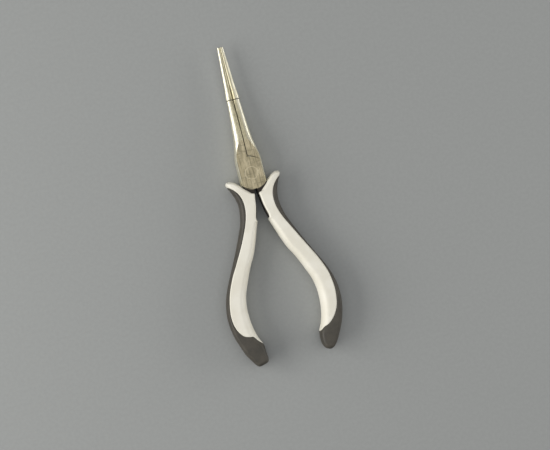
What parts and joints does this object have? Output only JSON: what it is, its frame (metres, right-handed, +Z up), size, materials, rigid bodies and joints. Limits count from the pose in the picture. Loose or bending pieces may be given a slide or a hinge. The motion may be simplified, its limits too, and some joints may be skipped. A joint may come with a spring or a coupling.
{
  "type": "round nose pliers",
  "caption": "Slim long-nosed hand pliers with conical jaws, a riveted lap joint and curved two-part grips with thumb guards.",
  "frame": {"origin": "middle of the footprint of the closed pliers, on the plane they lie on", "axes": "+Y along the tool towards the jaw tips, +Z up along the rivet, +X to the right seen from above"},
  "size_m": [0.0546, 0.15, 0.011],
  "materials": {
    "forged_steel": "ground and satin polished",
    "rivet_steel": "ground flush",
    "hard_plastic": "fine moulded satin",
    "soft_plastic": "matt soft-touch"
  },
  "bodies": {
    "lower_half": {"lower_half": "forged_steel", "pivot_rivet": "rivet_steel", "left_grip_core": "hard_plastic", "left_grip_cover": "soft_plastic"},
    "upper_half": {"upper_half": "forged_steel", "right_grip_core": "hard_plastic", "right_grip_cover": "soft_plastic"}
  },
  "joints": [
    {"name": "jaw_hinge", "type": "hinge", "parent": "lower_half", "child": "upper_half", "pos_m": [0, 0.0141, 0.0055], "axis": [0, 0, 1], "range_deg": [0, 40]}
  ]
}
